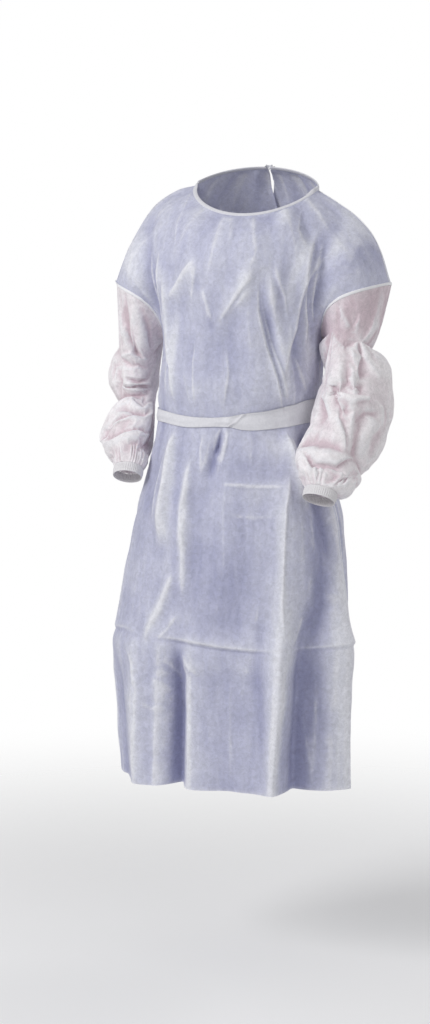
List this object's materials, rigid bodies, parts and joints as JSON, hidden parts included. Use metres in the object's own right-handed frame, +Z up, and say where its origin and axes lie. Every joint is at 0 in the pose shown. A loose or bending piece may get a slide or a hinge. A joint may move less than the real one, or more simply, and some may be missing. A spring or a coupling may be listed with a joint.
{
  "type": "cover gown",
  "caption": "Long-sleeved disposable cover gown in thin nonwoven cloth, filled out as worn, with a tie round the waist, a bound round neck and elastic cuffs.",
  "frame": {"origin": "midway between the two high shoulder points, where the neck edge crosses the shoulder seams, which is where the garment hangs from its wearer", "axes": "+Z up, -Y the way the front faces, +X the wearer's left"},
  "size_m": [0.5544, 0.3454, 1.0915],
  "materials": {
    "body_cloth": "matte spunbond nonwoven, slightly see-through",
    "sleeve_cloth": "matte spunbond nonwoven, slightly see-through",
    "tape": "matte folded nonwoven tape",
    "cuff_knit": "matte covered elastic"
  },
  "bodies": {
    "root": {"front": "body_cloth", "back_left": "body_cloth", "back_right": "body_cloth", "sleeve_left": "sleeve_cloth", "sleeve_right": "sleeve_cloth", "cuff_left": "cuff_knit", "cuff_right": "cuff_knit", "neck_binding": "tape", "waist_tie": "tape", "waist_tie_knot": "tape", "waist_tie_end_left": "tape", "waist_tie_end_right": "tape", "neck_tie_knot": "tape", "neck_tie_end_left": "tape", "neck_tie_end_right": "tape"}
  },
  "joints": []
}
